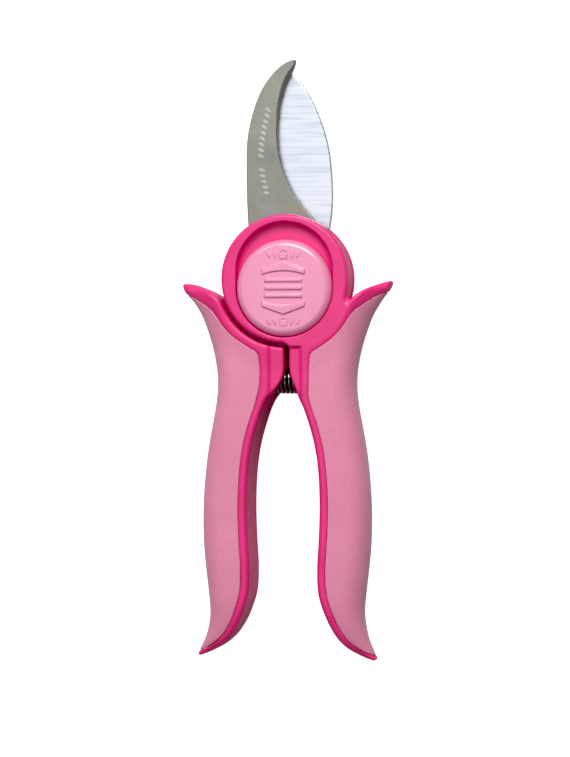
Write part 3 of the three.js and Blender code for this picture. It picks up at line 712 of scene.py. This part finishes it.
class Shader:
    """A Principled material with object-space noise at sizes given in millimetres."""

    def __init__(self, name, **values):
        self.material = bpy.data.materials.new(name)
        self.material.use_nodes = True
        self.nodes = self.material.node_tree.nodes
        self.links = self.material.node_tree.links
        self.main = self.nodes["Principled BSDF"]
        for socket, value in values.items():
            self.main.inputs[socket.replace("_", " ")].default_value = value
        self.place = self.nodes.new("ShaderNodeTexCoord").outputs["Object"]

    def noise(self, size_mm, stretch=(1, 1, 1), detail=3.0, roughness=0.55):
        mapping = self.nodes.new("ShaderNodeMapping")
        mapping.inputs["Scale"].default_value = [1 / (size_mm * MM * s) for s in stretch]
        self.links.new(self.place, mapping.inputs["Vector"])
        texture = self.nodes.new("ShaderNodeTexNoise")
        texture.inputs["Scale"].default_value = 1.0
        texture.inputs["Detail"].default_value = detail
        texture.inputs["Roughness"].default_value = roughness
        self.links.new(mapping.outputs["Vector"], texture.inputs["Vector"])
        return texture.outputs["Fac"]

    def ramp(self, value, stops):
        node = self.nodes.new("ShaderNodeValToRGB")
        node.color_ramp.elements[0].position = stops[0][0]
        node.color_ramp.elements[0].color = (*stops[0][1], 1)
        node.color_ramp.elements[1].position = stops[-1][0]
        node.color_ramp.elements[1].color = (*stops[-1][1], 1)
        for position, colour in stops[1:-1]:
            node.color_ramp.elements.new(position).color = (*colour, 1)
        self.links.new(value, node.inputs["Fac"])
        return node.outputs["Color"]

    def mix(self, share, one, two, mode="MIX"):
        node = self.nodes.new("ShaderNodeMix")
        node.data_type = "RGBA"
        node.blend_type = mode
        colours = [s for s in node.inputs if s.type == "RGBA"]
        for socket, value in ((node.inputs["Factor"], share), (colours[0], one), (colours[1], two)):
            if isinstance(value, bpy.types.NodeSocket):
                self.links.new(value, socket)
            elif isinstance(value, tuple):
                socket.default_value = (*value, 1)
            else:
                socket.default_value = value
        return next(s for s in node.outputs if s.type == "RGBA")

    def range(self, value, low, high, from_low=0.3, from_high=0.7):
        node = self.nodes.new("ShaderNodeMapRange")
        self.links.new(value, node.inputs["Value"])
        node.inputs["From Min"].default_value = from_low
        node.inputs["From Max"].default_value = from_high
        node.inputs["To Min"].default_value = low
        node.inputs["To Max"].default_value = high
        return node.outputs["Result"]

    def set(self, socket, value):
        self.links.new(value, self.main.inputs[socket])

    def bump(self, *layers):
        """Bump from (height, depth in mm) layers, the coarsest first."""
        normal = None
        for height, depth_mm in layers:
            node = self.nodes.new("ShaderNodeBump")
            node.inputs["Distance"].default_value = depth_mm * MM
            self.links.new(height, node.inputs["Height"])
            if normal is not None:
                self.links.new(normal, node.inputs["Normal"])
            normal = node.outputs["Normal"]
        self.links.new(normal, self.main.inputs["Normal"])


def srgb(red, green, blue):
    """A linear colour from 0 to 255 screen values."""
    values = []
    for value in (red, green, blue):
        share = value / 255
        values.append(share / 12.92 if share <= 0.04045 else ((share + 0.055) / 1.055) ** 2.4)
    return tuple(values)


def moulded_plastic(name, dark, light, roughness, fine, coat=0.0):
    """Injection-moulded plastic: faint cloudy colour, flow marks and a fine moulded grain."""
    made = Shader(name, Roughness=roughness, IOR=1.5, Coat_Weight=coat, Coat_Roughness=0.1)
    made.set("Base Color", made.ramp(made.noise(9, detail=4), [(0.3, dark), (0.7, light)]))
    made.set("Roughness", made.range(made.noise(3, detail=5), roughness - 0.06, roughness + 0.08))
    made.bump((made.noise(2.2, stretch=(1, 3, 1)), 0.012), (made.noise(0.16, detail=2), fine))
    return made.material


def soft_rubber(name, dark, light):
    """Overmoulded soft rubber: matt, faintly mottled, with a fine spark-eroded grain."""
    made = Shader(name, Roughness=0.62, IOR=1.45, Sheen_Weight=0.2, Sheen_Roughness=0.5)
    cloud = made.ramp(made.noise(14, detail=5), [(0.28, dark), (0.72, light)])
    speck = made.ramp(made.noise(0.45, detail=3), [(0.35, (0.93, 0.93, 0.93)), (0.65, (1.03, 1.03, 1.03))])
    made.set("Base Color", made.mix(1.0, cloud, speck, "MULTIPLY"))
    made.set("Roughness", made.range(made.noise(4, detail=4), 0.55, 0.72))
    made.bump((made.noise(0.5, detail=3), 0.02), (made.noise(0.14, detail=2), 0.012))
    return made.material


def blasted_steel(name):
    """Bead-blasted steel: soft grey with fine pits and cloudy patches."""
    made = Shader(name, Metallic=1.0, Roughness=0.5)
    cloud = made.ramp(made.noise(11, detail=4), [(0.3, srgb(134, 141, 140)), (0.5, srgb(149, 150, 139)),
                                                 (0.7, srgb(151, 155, 151))])
    pits = made.ramp(made.noise(0.22, detail=2), [(0.32, (0.82, 0.82, 0.82)), (0.6, (1.0, 1.0, 1.0))])
    made.set("Base Color", made.mix(1.0, cloud, pits, "MULTIPLY"))
    made.set("Roughness", made.range(made.noise(1.5, detail=4), 0.42, 0.58))
    made.bump((made.noise(0.25, detail=3), 0.03), (made.noise(0.1, detail=1), 0.012))
    return made.material


def brushed_steel(name, dark, light, along=(14, 0.6, 1), roughness=0.3):
    """Steel with brush marks along one axis, in broad bands and fine scratches."""
    made = Shader(name, Metallic=1.0, Roughness=roughness)
    bands = made.noise(1.4, stretch=along, detail=4, roughness=0.65)
    scratches = made.noise(0.22, stretch=(along[0] * 3, along[1], 1), detail=3)
    tone = made.ramp(bands, [(0.3, dark), (0.52, light), (0.75, light)])
    fine = made.ramp(scratches, [(0.3, (0.95, 0.955, 0.96)), (0.5, (1.0, 1.0, 1.0))])
    made.set("Base Color", made.mix(1.0, tone, fine, "MULTIPLY"))
    made.set("Roughness", made.range(bands, roughness - 0.06, roughness + 0.12))
    made.bump((bands, 0.008), (scratches, 0.006))
    return made.material


def plain_steel(name, dark, light, roughness=0.32):
    """Turned and plated hardware."""
    made = Shader(name, Metallic=1.0, Roughness=roughness)
    tone = made.ramp(made.noise(1.5, detail=4), [(0.3, dark), (0.7, light)])
    made.set("Base Color", tone)
    made.set("Roughness", made.range(made.noise(0.5, detail=3), roughness - 0.07, roughness + 0.1))
    made.bump((made.noise(0.2, stretch=(1, 1, 4)), 0.006))
    return made.material


MAGENTA = moulded_plastic("magenta_plastic", srgb(222, 49, 121), srgb(232, 56, 131), 0.36, 0.004)
GRIP_PINK = soft_rubber("grip_rubber", srgb(222, 135, 164), srgb(229, 142, 172))
BUTTON_PINK = moulded_plastic("button_plastic", srgb(230, 140, 176), srgb(236, 146, 182), 0.38, 0.006,
                              coat=0.9)
BLASTED = blasted_steel("blasted_steel")
BRUSHED = brushed_steel("brushed_steel", srgb(200, 207, 221), srgb(224, 229, 238))
ETCHED = brushed_steel("etched_steel", srgb(170, 172, 160), srgb(186, 187, 175), along=(1, 1, 1),
                       roughness=0.45)
HARDWARE = plain_steel("plain_steel", srgb(170, 174, 178), srgb(205, 208, 212))
# Steel for the spring, with a tone darker than the other hardware's: the extra darkness is painted shade for
# the gap between the bosses where the spring sits.
SPRING_STEEL_PAINTED_SHADE = plain_steel("spring_steel_painted_shade", srgb(116, 118, 122), srgb(146, 148, 152), 0.2)


# ---- Pieces on their bodies ----

def dress(piece, body, material, slot, *nodes):
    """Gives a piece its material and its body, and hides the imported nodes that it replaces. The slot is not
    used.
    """
    piece.data.materials.append(material)
    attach(piece, body)
    if nodes:
        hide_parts(*nodes)
    return piece


def make_handles():
    tail_y, head_y, back_z, front_z = -106.5, 18.5, -0.5, HEAD_TOP + 1
    halves = (
        ("right", 1, right_core, (-18.5, 30.0)),
        ("left", -1, left_core, (-31.5, 18.5)),
    )
    for name, side, core, (low_x, high_x) in halves:
        low, high = (low_x, tail_y, back_z), (high_x, head_y, front_z)
        piece = field_piece(f"{name}_core_shell", core, low, high, HANDLE_STEP)
        dress(piece, f"{name}_half", MAGENTA, "magenta_plastic", f"{name}_handle_core")
        low_x, high_x = sorted(AXIS_X + side * reach for reach in GRIP_SPAN)
        low, high = (low_x, tail_y, back_z), (high_x, 0.0, front_z)
        piece = field_piece(f"{name}_grip_skin", partial(grip, side), low, high, HANDLE_STEP)
        dress(piece, f"{name}_half", GRIP_PINK, "grip_pink", f"{name}_grip")


def make_button_and_cap():
    r = BUTTON_R + 0.5
    piece = field_piece("thumb_button", lock_button, (-r, BUTTON_Y - r, POST_LOW - 0.3),
                        (r, BUTTON_Y + r, BUTTON_TOP + 0.6), BUTTON_STEP)
    dress(piece, "lock", BUTTON_PINK, "button_pink", "lock_button")
    r = CAP_R + 0.3
    piece = field_piece("back_cap", rear_cap, (-r, -r, -0.3), (r, r, CAP_TOP + 0.3), CAP_STEP)
    dress(piece, "left_half", BUTTON_PINK, "button_pink", "rear_cap")


def make_blades():
    low, high = corners("hook_blade")
    piece = field_piece("hook_blade_ground", hook_blade, low, high, BLADE_STEP)
    dress(piece, "right_half", BLASTED, "blasted_steel", "hook_blade")
    low, high = corners("cutting_blade")
    piece = field_piece("cutting_blade_ground", cutting_blade, low, high, BLADE_STEP)
    dress(piece, "left_half", BRUSHED, "brushed_blade", "cutting_blade")
    dress(hook_marks(), "right_half", ETCHED, "blasted_steel")


def make_spring():
    piece = main_spring()
    piece.data.materials.append(SPRING_STEEL_PAINTED_SHADE)
    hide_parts("main_spring")
    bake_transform(piece)


def finish_hardware():
    """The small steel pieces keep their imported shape, with a fine bevel on their edges."""
    for piece in frame["nodes"].values():
        if piece.hide_render:
            continue
        piece.data.materials.clear()
        piece.data.materials.append(HARDWARE)
        bevel = piece.modifiers.new("edge", "BEVEL")
        bevel.width = HARDWARE_BEVEL * MM
        bevel.segments = 2
        bevel.angle_limit = math.radians(40)


# ---- Stage ----

SHADOW_DEPTH = 0.016  # the darkest tone that the picture still shows
CAMERA = {"yaw": 10.6, "distance": 0.75, "field_mm": 208.55, "aim": (0.33, -27.58, 16.5)}
WORLD_LIGHT = 0.2
LIGHTS = (  # name, place and size in metres, watts
    ("key", (0.06, 0.55, 0.62), (0.5, 0.36), 6.5),
    ("side", (-0.4, 0.5, 0.6), (0.22, 0.22), 1.0),
    ("top", (-0.1, -0.08, 0.9), (0.6, 0.6), 1.2),
)


def stage_shader(name, seen, lit):
    """A pale stage surface that the camera sees brighter than the object does."""
    material = bpy.data.materials.new(name)
    material.use_nodes = True
    nodes, links = material.node_tree.nodes, material.node_tree.links
    base = nodes["Principled BSDF"]
    base.inputs["Base Color"].default_value = (lit, lit, lit, 1)
    base.inputs["Roughness"].default_value = 0.9
    base.inputs["Emission Color"].default_value = (1, 1, 1, 1)
    ray = nodes.new("ShaderNodeLightPath")
    times = nodes.new("ShaderNodeMath")
    times.operation = "MULTIPLY"
    times.inputs[1].default_value = seen
    links.new(ray.outputs["Is Camera Ray"], times.inputs[0])
    links.new(times.outputs[0], base.inputs["Emission Strength"])
    return material


def make_floor():
    mesh = bpy.data.meshes.new("floor")
    reach, low = 4.0, -0.0004
    spots = [(-reach, -reach, low), (reach, -reach, low), (reach, reach, low), (-reach, reach, low)]
    mesh.from_pydata(spots, [], [(0, 1, 2, 3)])
    floor = bpy.data.objects.new("floor", mesh)
    floor.data.materials.append(stage_shader("floor_paper", seen=1.0, lit=0.5))
    bpy.context.scene.collection.objects.link(floor)


def area_light(name, spot, size, power, aim=(0.0, -0.02, 0.01)):
    light = bpy.data.lights.new(name, "AREA")
    light.shape = "RECTANGLE"
    light.size, light.size_y = size
    light.energy = power
    lamp = bpy.data.objects.new(name, light)
    lamp.location = spot
    lamp.rotation_euler = (Vector(aim) - Vector(spot)).to_track_quat("-Z", "Y").to_euler()
    bpy.context.scene.collection.objects.link(lamp)


def make_world(strength):
    world = bpy.data.worlds.new("studio")
    world.use_nodes = True
    nodes, links = world.node_tree.nodes, world.node_tree.links
    back = nodes["Background"]
    back.inputs["Color"].default_value = (1, 1, 1, 1)
    ray = nodes.new("ShaderNodeLightPath")
    mix = nodes.new("ShaderNodeMapRange")
    mix.inputs["To Min"].default_value = strength
    mix.inputs["To Max"].default_value = 1.0
    links.new(ray.outputs["Is Camera Ray"], mix.inputs["Value"])
    links.new(mix.outputs["Result"], back.inputs["Strength"])
    bpy.context.scene.world = world


def make_camera():
    yaw = math.radians(CAMERA["yaw"])
    back = Vector((math.sin(yaw), 0, math.cos(yaw)))
    data = bpy.data.cameras.new("camera")
    data.lens = data.sensor_width * CAMERA["distance"] / (CAMERA["field_mm"] * MM)
    data.clip_start, data.clip_end = 0.01, 20
    camera = bpy.data.objects.new("camera", data)
    camera.location = Vector(CAMERA["aim"]) * MM + back * CAMERA["distance"]
    right = Vector((math.cos(yaw), 0, -math.sin(yaw)))
    turn = Matrix((right, Vector((0, 1, 0)), back)).transposed()
    camera.rotation_euler = turn.to_euler()
    bpy.context.scene.collection.objects.link(camera)
    bpy.context.scene.camera = camera


def set_stage():
    make_camera()
    make_floor()
    make_world(WORLD_LIGHT)
    for light in LIGHTS:
        area_light(*light)
    view = bpy.context.scene.view_settings
    view.view_transform = "Standard"
    view.look = "None"
    view.use_curve_mapping = True
    view.curve_mapping.black_level = (SHADOW_DEPTH,) * 3
    view.curve_mapping.update()


set_stage()
make_handles()
make_button_and_cap()
make_blades()
make_spring()
finish_hardware()
